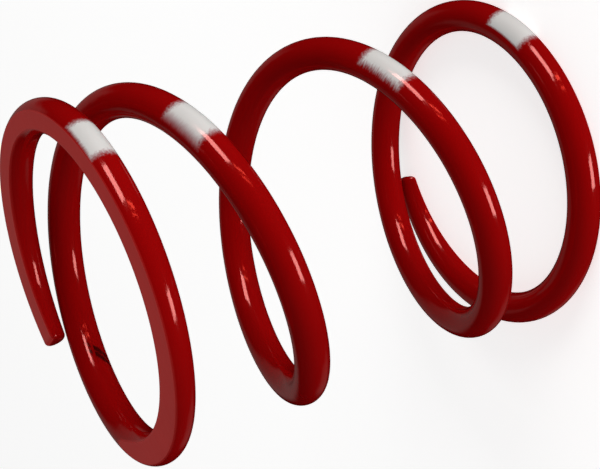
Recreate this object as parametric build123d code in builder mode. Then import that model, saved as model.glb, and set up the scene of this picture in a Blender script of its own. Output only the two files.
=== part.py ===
from build123d import *
from math import cos, pi, radians, sin, sqrt, tan
import os

# Millimetres, degrees and turns of wire. The coil axis is Z and the spring stands on its bottom face.
outer_diameter = 60.0  # of the coil, before its ends widen
wire_diameter = 5.7
free_length = 82.6  # along the coil axis, between the two ground faces
total_turns = 4.054
top_tip_angle = 84.5  # where the top tip lies, from +X towards +Y
top_face_tilt = 3.4  # out of square to the axis, with the high side towards +X

# Top end: the tip is tucked in and nearly touches the next turn
top_tip_thickness = 3.1  # wire left at the tip after grinding
top_tip_gap = 0.15  # clear space between the tip and the next turn
top_tip_lift = -1.0  # how far the tip springs out along the axis, less than nothing for tucked in
top_lift_turns = 0.51  # the stretch of wire that springs out or is tucked in
top_closed_turns = 0.7  # the stretch that lies nearly flat
top_opening_turns = 0.79  # the stretch over which the pitch opens
top_flare = 1.1  # how much wider the coil radius is at the tip
top_flare_turns = 2.16  # the stretch that widens

# Bottom end: the tip springs out before it is ground
bottom_tip_thickness = 2.2
bottom_tip_gap = 1.3
bottom_tip_lift = 4.84
bottom_lift_turns = 0.46
bottom_closed_turns = 0.5
bottom_opening_turns = 0.69
bottom_flare = 1.8
bottom_flare_turns = 1.75

points_per_turn = 24  # points of the curve that the wire follows

wire_radius = wire_diameter / 2
coil_radius = outer_diameter / 2 - wire_radius


def ramp_area(x):
    """Area under a smooth ramp that goes from 0 to 1 while x goes from 0 to 1."""
    x = min(max(x, 0.0), 1.0)
    return x**3 - x**4 / 2


def fade_area(x):
    """Area under a smooth fade that goes from 1 to 0 while x goes from 0 to 1."""
    x = min(max(x, 0.0), 1.0)
    return x - ramp_area(x)


class End:
    """One closed end. Every place on it is given in turns of wire from its own tip."""

    def __init__(self, gap, lift, lift_turns, closed, opening, flare, flare_turns):
        self.lift = lift
        self.lift_turns = lift_turns
        self.closed = closed
        self.opening = opening
        self.flare = flare
        self.flare_turns = flare_turns
        self.middle = closed + opening / 2
        # after one turn the wire has risen far enough to lie clear of the tip
        sideways = self.widening(0) - self.widening(1)
        first_rise = sqrt((wire_diameter + gap) ** 2 - sideways**2)
        share = opening * ramp_area((1 - closed) / opening)
        self.base = (first_rise - lift) / (1 - share)
        self.slope = share / (1 - share)

    def widening(self, turn):
        return self.flare * max(1 - turn / self.flare_turns, 0) ** 2

    def rise(self, turn, pitch):
        """Travel along the axis from the tip to a turn of the wire."""
        low = self.base - self.slope * pitch
        opened = self.opening * ramp_area((turn - self.closed) / self.opening)
        opened += max(turn - self.closed - self.opening, 0)
        sprung = 2 * self.lift * fade_area(turn / self.lift_turns)
        return low * turn + (pitch - low) * opened + sprung


top_end = End(
    top_tip_gap,
    top_tip_lift,
    top_lift_turns,
    top_closed_turns,
    top_opening_turns,
    top_flare,
    top_flare_turns,
)
bottom_end = End(
    bottom_tip_gap,
    bottom_tip_lift,
    bottom_lift_turns,
    bottom_closed_turns,
    bottom_opening_turns,
    bottom_flare,
    bottom_flare_turns,
)
ends = (top_end, bottom_end)


def turn_angle(turn):
    """Right-hand wire: going down from the top tip it turns clockwise, seen from above."""
    return radians(top_tip_angle) - 2 * pi * turn


def radius_at(turn):
    return coil_radius + top_end.widening(turn) + bottom_end.widening(total_turns - turn)


# Each tip stands where grinding leaves the given thickness of it, and the active pitch takes up
# the length that the closed ends leave.
face_slope = tan(radians(top_face_tilt))
top_face_over_tip = free_length + face_slope * radius_at(0) * cos(turn_angle(0))
top_tip_z = top_face_over_tip - top_tip_thickness + wire_radius
bottom_tip_z = bottom_tip_thickness - wire_radius
closed_travel = sum(end.base * end.middle + end.lift for end in ends)
closed_turns = sum((1 + end.slope) * end.middle for end in ends)
active_pitch = (top_tip_z - bottom_tip_z - closed_travel) / (total_turns - closed_turns)


def height_at(turn):
    if turn < total_turns / 2:
        return top_tip_z - top_end.rise(turn, active_pitch)
    return bottom_tip_z + bottom_end.rise(total_turns - turn, active_pitch)


def wire_point(turn):
    """Centre of the wire, with turn 0 at the top tip."""
    x = radius_at(turn) * cos(turn_angle(turn))
    y = radius_at(turn) * sin(turn_angle(turn))
    return Vector(x, y, height_at(turn))


def make_spring():
    steps = round(total_turns * points_per_turn)
    points = [wire_point(total_turns * i / steps) for i in range(steps + 1)]
    top_face = Plane(origin=(0, 0, free_length), z_dir=(-face_slope, 0, 1))
    with BuildPart() as spring:
        with BuildLine() as wire_path:
            Spline(*points)
        with BuildSketch(Plane(origin=wire_path.line @ 0, z_dir=wire_path.line % 0)):
            Circle(wire_radius)
        sweep(path=wire_path.line)
        wire_length = wire_path.edge().length
        print("wire length", round(wire_length, 1), "mm, active pitch", round(active_pitch, 2), "mm")
        swept = spring.part.volume
        print("wire volume", round(swept), "of", round(pi * wire_radius**2 * wire_length), "mm3")
        split(bisect_by=top_face, keep=Keep.BOTTOM)
        split(bisect_by=Plane.XY, keep=Keep.TOP)
    spring.part.label = "spring"
    return spring


spring = make_spring()
os.makedirs("parts", exist_ok=True)
export_step(spring.part, "parts/spring.step")
print("bounding box", spring.part.bounding_box())
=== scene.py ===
import math

import bpy
from mathutils import Matrix, Vector


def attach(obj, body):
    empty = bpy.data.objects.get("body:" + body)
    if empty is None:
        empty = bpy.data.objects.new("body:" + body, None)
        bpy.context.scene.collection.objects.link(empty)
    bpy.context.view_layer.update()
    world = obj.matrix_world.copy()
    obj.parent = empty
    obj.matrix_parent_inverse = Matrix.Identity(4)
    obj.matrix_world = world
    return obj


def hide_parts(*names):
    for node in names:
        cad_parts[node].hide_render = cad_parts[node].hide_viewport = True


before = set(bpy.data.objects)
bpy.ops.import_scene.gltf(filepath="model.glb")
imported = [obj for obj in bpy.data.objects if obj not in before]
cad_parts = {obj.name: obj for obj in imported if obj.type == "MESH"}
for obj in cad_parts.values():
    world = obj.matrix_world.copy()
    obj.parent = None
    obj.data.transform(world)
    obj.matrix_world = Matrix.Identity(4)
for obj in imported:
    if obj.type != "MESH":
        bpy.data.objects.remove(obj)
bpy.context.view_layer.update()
mm = 0.001

# the wire, in mm, degrees and turns counted from the top tip
springWire = {
    "Coil Diameter": 60.0 * mm,
    "Wire Diameter": 5.7 * mm,
    "Free Length": 82.6 * mm,
    "Turns": 4.054,
    "Tip Angle": math.radians(84.5),
    "Face Slope": math.tan(math.radians(3.4)),
    "Top Thickness": 3.1 * mm,
    "Top Gap": 0.15 * mm,
    "Top Lift": -1.0 * mm,
    "Top Lift Turns": 0.51,
    "Top Closed": 0.7,
    "Top Opening": 0.79,
    "Top Flare": 1.1 * mm,
    "Top Flare Turns": 2.16,
    "Bottom Thickness": 2.2 * mm,
    "Bottom Gap": 1.3 * mm,
    "Bottom Lift": 4.84 * mm,
    "Bottom Lift Turns": 0.46,
    "Bottom Closed": 0.5,
    "Bottom Opening": 0.69,
    "Bottom Flare": 1.8 * mm,
    "Bottom Flare Turns": 1.75,
    "Ground Edge": 0.4 * mm,
    "Tip Edge": 1.0 * mm,
}
wireMesh = {"rings": 1250, "sides": 56, "chordSteps": 5, "cornerSteps": 4, "capSteps": 9}


# a value inside a node tree, so that a rule can be written as plain arithmetic
class Value:
    def __init__(self, tree, socket):
        self.tree = tree
        self.socket = socket

    def math(self, operation, *others):
        node = self.tree.nodes.new("ShaderNodeMath")
        node.operation = operation
        for place, item in zip(node.inputs, (self, *others)):
            plug(self.tree, place, item)
        return Value(self.tree, node.outputs[0])

    def __add__(self, other):
        return self.math("ADD", other)

    def __sub__(self, other):
        return self.math("SUBTRACT", other)

    def __mul__(self, other):
        return self.math("MULTIPLY", other)

    def __truediv__(self, other):
        return self.math("DIVIDE", other)

    def __rsub__(self, other):
        return (self * -1.0) + other

    def __rtruediv__(self, other):
        return self.math("POWER", -1.0) * other

    __radd__ = __add__
    __rmul__ = __mul__

    def below(self, other):
        return self.math("LESS_THAN", other)

    def least(self, other):
        return self.math("MINIMUM", other)

    def most(self, other):
        return self.math("MAXIMUM", other)

    def held(self, low=0.0, high=1.0):
        return self.most(low).least(high)

    def root(self):
        return self.most(0.0).math("SQRT")

    def cos(self):
        return self.math("COSINE")

    def sin(self):
        return self.math("SINE")

    def arccos(self):
        return self.math("ARCCOSINE")

    def smooth(self):
        return self.held() * self.held() * (3.0 - self.held() * 2.0)

    # this value where the switch is 0, the other where it is 1
    def orElse(self, other, switch):
        return self + (other - self) * switch


def plug(tree, place, item):
    if isinstance(item, Value):
        tree.links.new(item.socket, place)
    else:
        place.default_value = item


def vectorMath(tree, operation, *items, output="Vector"):
    node = tree.nodes.new("ShaderNodeVectorMath")
    node.operation = operation
    spots = [s for s in node.inputs if s.enabled]
    for place, item in zip(spots, items):
        plug(tree, place, item)
    return Value(tree, node.outputs[output])


def joinXyz(tree, x, y, z):
    node = tree.nodes.new("ShaderNodeCombineXYZ")
    for place, item in zip(node.inputs, (x, y, z)):
        plug(tree, place, item)
    return Value(tree, node.outputs[0])


def splitXyz(tree, vector):
    node = tree.nodes.new("ShaderNodeSeparateXYZ")
    plug(tree, node.inputs[0], vector)
    return [Value(tree, s) for s in node.outputs]


def newTree(name, inputs, outputs):
    tree = bpy.data.node_groups.new(name, "GeometryNodeTree")
    for title, kind in inputs:
        tree.interface.new_socket(title, in_out="INPUT", socket_type=kind)
    for title, kind in outputs:
        tree.interface.new_socket(title, in_out="OUTPUT", socket_type=kind)
    start = tree.nodes.new("NodeGroupInput")
    end = tree.nodes.new("NodeGroupOutput")
    given = {s.name: Value(tree, s) for s in start.outputs if s.name}
    return tree, given, end


# area under a smooth ramp from 0 to 1
def rampArea(x):
    x = x.held()
    return x * x * x - x * x * x * x * 0.5


# how one closed end of the wire rises, from its own tip
class WireEnd:
    def __init__(self, given, side):
        self.lift = given[side + " Lift"]
        self.liftTurns = given[side + " Lift Turns"]
        self.closed = given[side + " Closed"]
        self.opening = given[side + " Opening"]
        self.flare = given[side + " Flare"]
        self.flareTurns = given[side + " Flare Turns"]
        self.middle = self.closed + self.opening * 0.5
        left = 1.0 - 1.0 / self.flareTurns
        sideways = self.flare - self.flare * left * left
        reach = given["Wire Diameter"] + given[side + " Gap"]
        firstRise = (reach * reach - sideways * sideways).root()
        share = self.opening * rampArea((1.0 - self.closed) / self.opening)
        self.base = (firstRise - self.lift) / (1.0 - share)
        self.slope = share / (1.0 - share)

    def widening(self, turn):
        left = (1.0 - turn / self.flareTurns).most(0.0)
        return self.flare * left * left

    def rise(self, turn, pitch):
        low = self.base - self.slope * pitch
        past = turn - self.closed
        opened = self.opening * rampArea(past / self.opening) + (past - self.opening).most(0.0)
        sprung = (turn / self.liftTurns).held()
        sprung = (sprung - rampArea(sprung)) * self.lift * 2.0
        return low * turn + (pitch - low) * opened + sprung


# node group: place of the wire's centre at a turn
def makeCentreGroup():
    sizes = [(title, "NodeSocketFloat") for title in springWire]
    tree, given, end = newTree(
        "wireCentre", [("Turn", "NodeSocketFloat")] + sizes, [("Centre", "NodeSocketVector")]
    )
    turn, total = given["Turn"], given["Turns"]
    top, bottom = WireEnd(given, "Top"), WireEnd(given, "Bottom")
    radius = given["Wire Diameter"] * 0.5
    coil = given["Coil Diameter"] * 0.5 - radius
    tipReach = coil + top.flare + bottom.widening(total)
    faceOverTip = given["Free Length"] + given["Face Slope"] * tipReach * given["Tip Angle"].cos()
    topZ = faceOverTip - given["Top Thickness"] + radius
    bottomZ = given["Bottom Thickness"] - radius
    travel = top.base * top.middle + top.lift + bottom.base * bottom.middle + bottom.lift
    closed = (top.slope + 1.0) * top.middle + (bottom.slope + 1.0) * bottom.middle
    pitch = (topZ - bottomZ - travel) / (total - closed)
    left = total - turn
    fromTop = topZ - top.rise(turn, pitch)
    fromBottom = bottomZ + bottom.rise(left, pitch)
    z = fromBottom.orElse(fromTop, turn.below(total * 0.5))
    reach = coil + top.widening(turn) + bottom.widening(left)
    angle = given["Tip Angle"] - turn * (2.0 * math.pi)
    centre = joinXyz(tree, reach * angle.cos(), reach * angle.sin(), z)
    tree.links.new(centre.socket, end.inputs["Centre"])
    return tree


# node tree: the whole wire with its ground faces and rounded tips
def makeSpringTree(centreGroup):
    sizes = [(title, "NodeSocketFloat") for title in springWire]
    counts = [(title, "NodeSocketInt") for title in ("Rings", "Sides")]
    tree, given, end = newTree(
        "groundEndSpring",
        sizes + counts + [("Finish", "NodeSocketMaterial")],
        [("Geometry", "NodeSocketGeometry")],
    )
    nodes, links = tree.nodes, tree.links
    rings, sides = given["Rings"], given["Sides"]
    caps = float(wireMesh["capSteps"])
    half = wireMesh["sides"] / 2
    chordShare = wireMesh["chordSteps"] / half
    cornerShare = (wireMesh["chordSteps"] + wireMesh["cornerSteps"]) / half

    grid = nodes.new("GeometryNodeMeshGrid")
    plug(tree, grid.inputs["Vertices X"], rings)
    plug(tree, grid.inputs["Vertices Y"], sides + 1.0)
    place = splitXyz(tree, Value(tree, nodes.new("GeometryNodeInputPosition").outputs[0]))
    ring = ((place[0] + 0.5) * (rings - 1.0)).math("ROUND")
    around = (place[1] + 0.5).held()

    # steps into the rounded tip, 0 along the wire itself
    lastRing = rings - 1.0
    fromStart = (caps - ring).most(0.0)
    fromEnd = (ring - lastRing + caps).most(0.0)
    capStep = fromStart + fromEnd
    outward = fromEnd.below(0.5) * -2.0 + 1.0
    roundTurn = (capStep / (caps - 3.0)).held() * (math.pi / 2)
    shrink = 1.0 - ((capStep - (caps - 3.0)) / 3.0).held()

    total, tipEdge = given["Turns"], given["Tip Edge"]
    radius = given["Wire Diameter"] * 0.5
    tipTurns = tipEdge / (given["Coil Diameter"] * math.pi - radius * 2.0 * math.pi)
    share = ((ring - caps) / (lastRing - 2.0 * caps)).held()
    turn = tipTurns + (total - tipTurns * 2.0) * share

    def centreAt(where):
        node = nodes.new("GeometryNodeGroup")
        node.node_tree = centreGroup
        plug(tree, node.inputs["Turn"], where)
        for title in springWire:
            links.new(given[title].socket, node.inputs[title])
        return Value(tree, node.outputs["Centre"])

    centre = centreAt(turn)
    ahead = vectorMath(tree, "SUBTRACT", centreAt(turn + 0.001), centreAt(turn - 0.001))
    ahead = vectorMath(tree, "NORMALIZE", ahead)
    onward = outward * tipEdge * roundTurn.sin()
    centre = vectorMath(tree, "ADD", centre, vectorMath(tree, "SCALE", ahead, onward))
    inset = tipEdge * (1.0 - roundTurn.cos())

    # section axes: the first points at the ground face of the nearer end
    topHalf = turn.below(total * 0.5)
    level = ((turn - 1.3) / (total - 2.6)).smooth()
    tilt = given["Face Slope"] * (1.0 - level)
    faceUp = vectorMath(tree, "NORMALIZE", joinXyz(tree, tilt * -1.0, 0.0, 1.0))
    across = vectorMath(tree, "CROSS_PRODUCT", ahead, faceUp)
    steepness = vectorMath(tree, "LENGTH", across, output="Value")
    across = vectorMath(tree, "NORMALIZE", across)
    upward = vectorMath(tree, "CROSS_PRODUCT", across, ahead)

    # height of the ground face over the wire's centre, in the section
    x, y, z = splitXyz(tree, centre)
    slope = given["Face Slope"]
    overTop = (given["Free Length"] + slope * x - z) / (slope * slope + 1.0).root()
    height = z.orElse(overTop, topHalf) / steepness - inset
    radius = radius - inset
    edge = given["Ground Edge"]
    inner = radius - edge
    cutTurn = ((height - edge) / inner).held(-1.0, 1.0).arccos()
    leastTurn = math.radians(20.0)
    openTurn = cutTurn.most(leastTurn)

    # once round the section: flat, soft edge, round back
    step = (around * 2.0 - 1.0).math("ABSOLUTE")
    side = (around - 0.5).math("SIGN")
    back = ((step - cornerShare) / (1.0 - cornerShare)).held() * (math.pi - openTurn)
    corner = ((step - chordShare) / (cornerShare - chordShare)).held()
    flat = (step / chordShare).held()
    reach = openTurn + back
    facing = openTurn * corner + back
    sideOff = inner * flat * reach.sin() + edge * facing.sin()
    lifted = inner * reach.cos() + edge * facing.cos()
    # where the cut has hardly begun, the round wire is pressed down to the face instead
    fromFlat = (sideOff - inner * cutTurn.sin()).most(0.0)
    softEdge = inner * cutTurn.cos() + (edge * edge - fromFlat * fromFlat).root()
    plain = (radius * radius - sideOff * sideOff).root()
    pressed = plain.orElse(softEdge, sideOff.below(radius * cutTurn.sin()))
    shallow = cutTurn.below(leastTurn) * step.below(cornerShare)
    lifted = lifted.orElse(pressed, shallow)

    # tips close onto the middle of what is left of the wire
    middle = (height.least(radius) - radius) * 0.5
    lifted = middle + (lifted - middle) * shrink
    sideOff = sideOff * side * shrink
    swing = level * math.pi
    upShare = lifted * swing.cos() - sideOff * swing.sin()
    acrossShare = lifted * swing.sin() + sideOff * swing.cos()
    place = vectorMath(tree, "ADD", centre, vectorMath(tree, "SCALE", upward, upShare))
    place = vectorMath(tree, "ADD", place, vectorMath(tree, "SCALE", across, acrossShare))

    # what the finish follows: turns along the wire, the ground faces, and the outer side
    ground = (1.0 - (fromFlat / edge).held()) * (lifted - middle).math("SIGN").held()
    ground = ground * (cutTurn * 20.0).held() * step.below(cornerShare) * roundTurn.below(0.8)
    out = vectorMath(tree, "NORMALIZE", joinXyz(tree, x, y, 0.0))
    offset = vectorMath(tree, "SUBTRACT", place, centre)
    outer = vectorMath(tree, "DOT_PRODUCT", offset, out, output="Value")
    round = splitXyz(tree, offset)[2].math("ARCTAN2", outer)

    shape = Value(tree, grid.outputs["Mesh"])
    for title, item in (("wireTurn", turn), ("groundFace", ground), ("wireSide", round)):
        store = nodes.new("GeometryNodeStoreNamedAttribute")
        store.data_type = "FLOAT"
        store.inputs["Name"].default_value = title
        links.new(shape.socket, store.inputs["Geometry"])
        plug(tree, store.inputs["Value"], item)
        shape = Value(tree, store.outputs["Geometry"])
    move = nodes.new("GeometryNodeSetPosition")
    links.new(shape.socket, move.inputs["Geometry"])
    links.new(place.socket, move.inputs["Position"])
    merge = nodes.new("GeometryNodeMergeByDistance")
    merge.inputs["Distance"].default_value = 1e-6
    links.new(move.outputs[0], merge.inputs["Geometry"])
    turnOut = nodes.new("GeometryNodeFlipFaces")
    links.new(merge.outputs[0], turnOut.inputs[0])
    soft = nodes.new("GeometryNodeSetShadeSmooth")
    links.new(turnOut.outputs[0], soft.inputs[0])
    real = nodes.new("GeometryNodeRealizeInstances")
    links.new(soft.outputs[0], real.inputs[0])
    paint = nodes.new("GeometryNodeSetMaterial")
    links.new(real.outputs[0], paint.inputs["Geometry"])
    links.new(given["Finish"].socket, paint.inputs["Material"])
    links.new(paint.outputs[0], end.inputs["Geometry"])
    return tree


def setInput(modifier, title, value):
    for item in modifier.node_group.interface.items_tree:
        if item.item_type == "SOCKET" and item.in_out == "INPUT" and item.name == title:
            modifier[item.identifier] = value


def makeSpring(finish):
    tree = makeSpringTree(makeCentreGroup())
    holder = bpy.data.objects.new("springHolder", bpy.data.meshes.new("springHolder"))
    bpy.context.collection.objects.link(holder)
    modifier = holder.modifiers.new("coil", "NODES")
    modifier.node_group = tree
    for title, value in springWire.items():
        setInput(modifier, title, value)
    setInput(modifier, "Rings", wireMesh["rings"])
    setInput(modifier, "Sides", wireMesh["sides"])
    setInput(modifier, "Finish", finish)
    graph = bpy.context.evaluated_depsgraph_get()
    mesh = bpy.data.meshes.new_from_object(holder.evaluated_get(graph), depsgraph=graph)
    bpy.data.objects.remove(holder)
    spring = bpy.data.objects.new("springWire", mesh)
    bpy.context.collection.objects.link(spring)
    return spring


coatLook = {
    "red": (0.3, 0.0012, 0.0016),
    "groundRed": (0.7, 0.03, 0.027),
    "paint": (0.75, 0.79, 0.78),
    "thinPaint": (0.5, 0.46, 0.5),
    "rubbedRed": (0.012, 0.001, 0.001),
    "rub": {
        "turn": 0.9665,
        "length": 0.0044,
        "apart": 0.0085,
        "slant": -0.017,
        "side": 3.5,
        "width": 0.75,
    },
    "roughness": 0.1,
    "groundRoughness": 0.3,
    "paintRoughness": 0.16,
    "shine": 0.8,
    "shineColour": (1.0, 0.34, 0.31),
    "peel": 0.00007,
}
# white paint marks in turns and radians round the wire: where each starts and ends along the wire,
# how far it reaches round to the inner side, how softly it ends there, and how much it spatters
paintMarks = [
    {"Start": 0.407, "End": 0.4475, "Reach": 0.7, "Fade": 0.3, "Spatter": 0.25},
    {"Start": 1.4115, "End": 1.4535, "Reach": 0.95, "Fade": 0.95, "Spatter": 0.12},
    {"Start": 2.404, "End": 2.451, "Reach": 1.0, "Fade": 0.65, "Spatter": 0.45},
    {"Start": 3.4, "End": 3.446, "Reach": 1.25, "Fade": 0.2, "Spatter": 0.2},
]


def newShader(name):
    finish = bpy.data.materials.new(name)
    finish.use_nodes = True
    return finish, finish.node_tree, finish.node_tree.nodes["Principled BSDF"]


def attribute(tree, name):
    node = tree.nodes.new("ShaderNodeAttribute")
    node.attribute_name = name
    return Value(tree, node.outputs["Fac"])


def noise(tree, where, scale, detail=2.0, roughness=0.5):
    node = tree.nodes.new("ShaderNodeTexNoise")
    plug(tree, node.inputs["Vector"], where)
    plug(tree, node.inputs["Scale"], scale)
    node.inputs["Detail"].default_value = detail
    node.inputs["Roughness"].default_value = roughness
    return Value(tree, node.outputs["Fac"])


def mixColour(tree, share, low, high):
    node = tree.nodes.new("ShaderNodeMix")
    node.data_type = "RGBA"
    spots = [i for i in node.inputs if i.enabled]
    for place, item in zip(spots, (share, low, high)):
        plug(tree, place, (*item, 1) if isinstance(item, tuple) else item)
    return Value(tree, [o for o in node.outputs if o.enabled][0])


# node group: how thickly one sprayed mark covers the wire
def makeOversprayGroup():
    tree = bpy.data.node_groups.new("overspray", "ShaderNodeTree")
    titles = ["Turn", "Side", "Streaks", "Grain", *paintMarks[0]]
    for title in titles:
        tree.interface.new_socket(title, in_out="INPUT", socket_type="NodeSocketFloat")
    tree.interface.new_socket("Cover", in_out="OUTPUT", socket_type="NodeSocketFloat")
    start, end = tree.nodes.new("NodeGroupInput"), tree.nodes.new("NodeGroupOutput")
    given = {title: Value(tree, start.outputs[title]) for title in titles}
    turn, side = given["Turn"], given["Side"]
    softness = 0.0045
    along = (turn - given["Start"]).least(given["End"] - turn) / softness
    inner = (given["Reach"] - side) / given["Fade"] * 2.0
    outer = (side + 1.45) / 0.15
    spatter = (given["Streaks"] - 0.5) * given["Spatter"] * 5.0
    inner = inner + spatter
    along = along + (given["Grain"] - 0.5) * 2.0 + spatter * 0.25
    cover = along.least(inner).least(outer)
    tree.links.new((cover * 0.5 + 0.5).smooth().socket, end.inputs["Cover"])
    return tree


def makeCoat():
    coat, tree, main = newShader("redPowderCoat")
    place = Value(tree, tree.nodes.new("ShaderNodeTexCoord").outputs["Object"])
    turn, side = attribute(tree, "wireTurn"), attribute(tree, "wireSide")
    ground = attribute(tree, "groundFace")
    grain = noise(tree, place, 2500.0, 3.0, 0.7)
    streaks = noise(tree, joinXyz(tree, turn * 700.0, side * 2.2, 0.0), 1.0, 3.0, 0.6)
    overspray = makeOversprayGroup()
    paint = ground * 0.0
    for mark in paintMarks:
        node = tree.nodes.new("ShaderNodeGroup")
        node.node_tree = overspray
        follows = {"Turn": turn, "Side": side, "Streaks": streaks, "Grain": grain}
        for title, item in (*follows.items(), *mark.items()):
            plug(tree, node.inputs[title], item)
        paint = paint + Value(tree, node.outputs["Cover"])
    # grinding came after the paint
    paint = (paint * (1.0 - ground)).held()

    # two dark lines where the spring hung on its rack while the coat was baked
    rub = coatLook["rub"]
    aroundRub = side + side.below(0.0) * (2.0 * math.pi) - rub["side"]
    offTurn = turn - rub["turn"] - aroundRub * rub["slant"] + (grain - 0.5) * 0.006
    offTurn = (offTurn.math("ABSOLUTE") - rub["apart"] / 2.0) / rub["length"]
    aroundRub = aroundRub / rub["width"]
    rubbed = (1.3 - (offTurn * offTurn + aroundRub * aroundRub) + (streaks - 0.5)).smooth()

    # the coat lies a little unevenly, and paler where it covers the ground faces
    uneven = noise(tree, place, 90.0) * 0.14 + 0.93
    red = mixColour(tree, ground, coatLook["red"], coatLook["groundRed"])
    red = vectorMath(tree, "MULTIPLY", red, joinXyz(tree, uneven, uneven, uneven))
    white = mixColour(tree, paint, coatLook["thinPaint"], coatLook["paint"])
    colour = mixColour(tree, paint, red, white)
    colour = mixColour(tree, rubbed * 0.85, colour, coatLook["rubbedRed"])
    tree.links.new(colour.socket, main.inputs["Base Color"])
    rough = noise(tree, place, 300.0) * 0.03 + (coatLook["roughness"] - 0.015)
    rough = rough + ground * (coatLook["groundRoughness"] - coatLook["roughness"])
    rough = rough + paint * (coatLook["paintRoughness"] - coatLook["roughness"])
    tree.links.new(rough.socket, main.inputs["Roughness"])
    main.inputs["Specular IOR Level"].default_value = coatLook["shine"]
    main.inputs["Specular Tint"].default_value = (*coatLook["shineColour"], 1)

    # orange peel of the powder coat
    peel = noise(tree, place, 420.0) * 0.5 + noise(tree, place, 150.0) * 0.5
    bump = tree.nodes.new("ShaderNodeBump")
    bump.inputs["Distance"].default_value = coatLook["peel"]
    tree.links.new(peel.socket, bump.inputs["Height"])
    tree.links.new(bump.outputs["Normal"], main.inputs["Normal"])
    return coat


spring = makeSpring(makeCoat())
print("spring wire:", len(spring.data.vertices), "vertices,", len(spring.data.polygons), "faces")
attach(spring, "root")
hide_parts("spring")

# the camera lies on its side, because the spring stands on its end here
cameraPlace = {
    "location": (-0.07189, -0.18327, 0.14063),
    "right": (-0.44592, -0.30879, -0.84012),
    "down": (-0.82913, 0.49609, 0.25775),
    "ahead": (0.33718, 0.81151, -0.47725),
    "lens": 76.20,
    "shift": (-0.0539, -0.0813),
}


def makeCamera():
    data = bpy.data.cameras.new("camera")
    camera = bpy.data.objects.new("camera", data)
    bpy.context.collection.objects.link(camera)
    right = Vector(cameraPlace["right"])
    up = -Vector(cameraPlace["down"])
    back = -Vector(cameraPlace["ahead"])
    turn = Matrix((right, up, back)).transposed().to_4x4()
    camera.matrix_world = Matrix.Translation(cameraPlace["location"]) @ turn
    data.lens = cameraPlace["lens"]
    data.sensor_width = 36.0
    data.shift_x, data.shift_y = cameraPlace["shift"]
    data.clip_start = 0.01
    bpy.context.scene.camera = camera


# directions are azimuth from +X towards +Y, and height above the floor, in degrees
def towards(azimuth, height):
    a, h = math.radians(azimuth), math.radians(height)
    return Vector((math.cos(a) * math.cos(h), math.sin(a) * math.cos(h), math.sin(h)))


# how wide and high each lamp looks from the spring in degrees, and how far away it stands
softWhite = (1, 0.99, 0.97)
studioLamps = {
    "keySoftbox": {
        "at": (-61, 13),
        "spread": (24, 20),
        "far": 1.0,
        "glow": 10.5,
        "colour": softWhite,
    },
    "sideSoftbox": {
        "at": (-137, -32),
        "spread": (16, 20),
        "far": 0.35,
        "glow": 9.0,
        "colour": softWhite,
    },
    "warmStrip": {
        "at": (-75, -13),
        "spread": (2.4, 24),
        "far": 1.2,
        "glow": 11.0,
        "colour": (1, 0.24, 0.16),
    },
    "warmEdge": {
        "at": (-82.5, -11),
        "spread": (1.8, 24),
        "far": 1.2,
        "glow": 9.0,
        "colour": (1, 0.18, 0.12),
    },
}
# how bright the room is on each side of the camera's view and on the opposite side
roomSides = {"right": (0.76, 0.2), "down": (0.84, 0.45), "ahead": (0.1, 0.08)}
# pale backdrops as the gloss shows them, in degrees to the side of straight ahead and above it
backdropColour = (1.0, 0.7, 0.66)
backdrops = [
    {"level": 0.15, "sides": (-62, -18), "heights": (-28, 28)},
    {"level": 0.1, "sides": (14, 48), "heights": (-46, -22)},
]


def makeLamps():
    middle = Vector((0, 0, 0.042))
    for name, lamp in studioLamps.items():
        data = bpy.data.lights.new(name, "AREA")
        data.shape = "RECTANGLE"
        data.size = 2 * lamp["far"] * math.tan(math.radians(lamp["spread"][0] / 2))
        data.size_y = 2 * lamp["far"] * math.tan(math.radians(lamp["spread"][1] / 2))
        data.color = lamp["colour"]
        data.energy = lamp["glow"] * math.pi * data.size * data.size_y
        box = bpy.data.objects.new(name, data)
        bpy.context.collection.objects.link(box)
        way = towards(*lamp["at"])
        box.location = middle + way * lamp["far"]
        box.rotation_euler = way.to_track_quat("Z", "Y").to_euler()
        box.visible_camera = False


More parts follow.
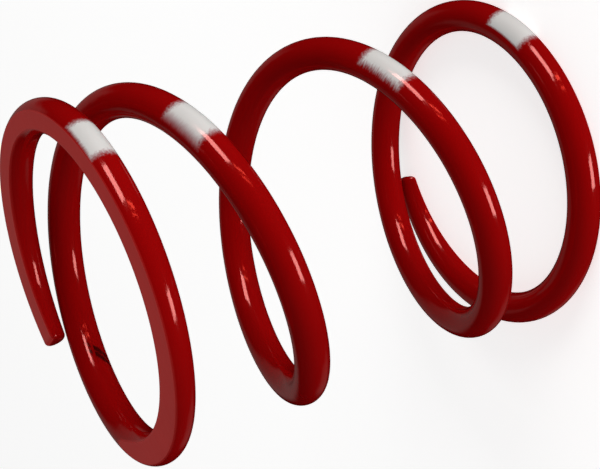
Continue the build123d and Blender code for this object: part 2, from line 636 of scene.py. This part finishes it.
# white behind the spring for the camera, backdrops in its gloss, and a soft room elsewhere
def makeWorld():
    world = bpy.data.worlds.new("studio")
    world.use_nodes = True
    tree = world.node_tree
    look = Value(tree, tree.nodes.new("ShaderNodeTexCoord").outputs["Generated"])
    parts = {}
    room = look.math("MULTIPLY", 0.0)
    for side, (level, farLevel) in roomSides.items():
        part = vectorMath(tree, "DOT_PRODUCT", look, cameraPlace[side], output="Value")
        room = room + part * part * (part.below(0.0) * (farLevel - level) + level)
        parts[side] = part
    right, down, ahead = parts.values()
    sideways = right.math("ARCTAN2", ahead) * (180.0 / math.pi)
    height = down.math("ARCSINE") * (-180.0 / math.pi)

    def between(angle, limits):
        past = (angle - limits[0]) / 12.0 + 0.5
        short = (limits[1] - angle) / 12.0 + 0.5
        return past.smooth() * short.smooth()

    pale = look.math("MULTIPLY", 0.0)
    for item in backdrops:
        inside = between(sideways, item["sides"]) * between(height, item["heights"])
        pale = pale + inside * item["level"]
    path = tree.nodes.new("ShaderNodeLightPath")
    glossy = Value(tree, path.outputs["Is Glossy Ray"])
    seen = Value(tree, path.outputs["Is Camera Ray"])
    seen = seen.most(Value(tree, path.outputs["Is Transmission Ray"]))
    level = room.orElse(pale, glossy)
    level = level * (1.0 - seen) + seen
    plug(tree, tree.nodes["Background"].inputs["Strength"], level)
    colour = mixColour(tree, glossy * (1.0 - seen), (1, 1, 1), backdropColour)
    plug(tree, tree.nodes["Background"].inputs["Color"], colour)
    bpy.context.scene.world = world


def makeFloor():
    mesh = bpy.data.meshes.new("floor")
    size = 6.0
    corners = [(-size, -size, 0), (size, -size, 0), (size, size, 0), (-size, size, 0)]
    mesh.from_pydata(corners, [], [(0, 1, 2, 3)])
    floor = bpy.data.objects.new("floor", mesh)
    bpy.context.collection.objects.link(floor)
    paper, tree, main = newShader("paleFloor")
    main.inputs["Base Color"].default_value = (0.8, 0.8, 0.8, 1)
    main.inputs["Roughness"].default_value = 0.9
    main.inputs["Specular IOR Level"].default_value = 0.0
    main.inputs["Emission Color"].default_value = (1, 1, 1, 1)
    path = tree.nodes.new("ShaderNodeLightPath")
    glow = Value(tree, path.outputs["Is Camera Ray"]) * 0.65
    tree.links.new(glow.socket, main.inputs["Emission Strength"])
    mesh.materials.append(paper)
    # light and reflections come up through it, as from a room where the spring lies on its side
    floor.visible_diffuse = False
    floor.visible_glossy = False
    floor.visible_shadow = False


makeCamera()
makeFloor()
makeLamps()
makeWorld()
print("studio:", len(studioLamps), "lamps")
bpy.context.scene.view_settings.view_transform = "Standard"
